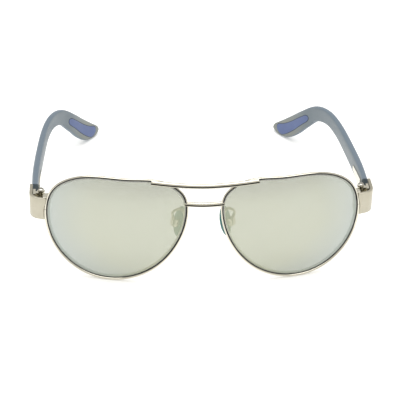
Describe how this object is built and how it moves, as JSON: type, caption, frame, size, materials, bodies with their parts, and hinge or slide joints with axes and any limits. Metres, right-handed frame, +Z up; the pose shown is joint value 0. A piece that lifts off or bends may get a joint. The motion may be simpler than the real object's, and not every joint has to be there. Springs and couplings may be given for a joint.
{
  "type": "aviator sunglasses",
  "caption": "Aviator sunglasses with teardrop wire rims, mirrored lenses, a brow bar, a bridge, rocking nose pads and folding temples with coloured tip inlays.",
  "frame": {"origin": "centre of the bounding box at its base, where the rims and temple tips rest", "axes": "+X to the right as seen from the front, -Y out of the front of the lenses, +Y back along the temples, +Z up"},
  "size_m": [0.141, 0.1238, 0.0478],
  "materials": {
    "frame_silver": "polished warm silver plating on wire and strip",
    "mirrored_lens": "tinted plastic lens with a pale silver mirror coating",
    "screw_steel": "turned steel screws with slotted heads",
    "temple_grey": "satin blue-grey moulded plastic",
    "inlay_blue": "soft matt blue inlay",
    "pad_clear": "translucent soft nose pad"
  },
  "bodies": {
    "front": {"brow_bar": "frame_silver", "bridge": "frame_silver", "rim_left": "frame_silver", "rim_right": "frame_silver", "lens_left": "mirrored_lens", "lens_right": "mirrored_lens", "end_piece_left": "frame_silver", "end_piece_right": "frame_silver", "rim_lock_upper_left": "frame_silver", "rim_lock_upper_right": "frame_silver", "rim_lock_lower_left": "frame_silver", "rim_lock_lower_right": "frame_silver", "rim_lock_screw_left": "screw_steel", "rim_lock_screw_right": "screw_steel", "hinge_front_left": "frame_silver", "hinge_front_right": "frame_silver", "hinge_screw_left": "screw_steel", "hinge_screw_right": "screw_steel", "pad_box_left": "frame_silver", "pad_box_right": "frame_silver", "nose_pad_screw_left": "screw_steel", "nose_pad_screw_right": "screw_steel", "pad_arm_left": "frame_silver", "pad_arm_right": "frame_silver"},
    "temple_left": {"temple_left": "temple_grey", "tip_inlay_left": "inlay_blue", "hinge_temple_left": "frame_silver"},
    "temple_right": {"temple_right": "temple_grey", "tip_inlay_right": "inlay_blue", "hinge_temple_right": "frame_silver"},
    "nose_pad_left": {"nose_pad_left": "pad_clear"},
    "nose_pad_right": {"nose_pad_right": "pad_clear"}
  },
  "joints": [
    {"name": "temple_right_fold", "type": "hinge", "parent": "front", "child": "temple_right", "pos_m": [0.06576, -0.04169, 0.02888], "axis": [0, 0, 1], "range_deg": [0, 83]},
    {"name": "temple_left_fold", "type": "hinge", "parent": "front", "child": "temple_left", "pos_m": [-0.06576, -0.04169, 0.02888], "axis": [0, 0, -1], "range_deg": [0, 75]},
    {"name": "nose_pad_right_rock", "type": "hinge", "parent": "front", "child": "nose_pad_right", "pos_m": [0.0111, -0.05183, 0.02363], "axis": [-0.5736, -0.8191, 0], "range_deg": [-8, 8]},
    {"name": "nose_pad_left_rock", "type": "hinge", "parent": "front", "child": "nose_pad_left", "pos_m": [-0.0111, -0.05183, 0.02363], "axis": [0.5736, -0.8191, 0], "range_deg": [-8, 8]}
  ]
}
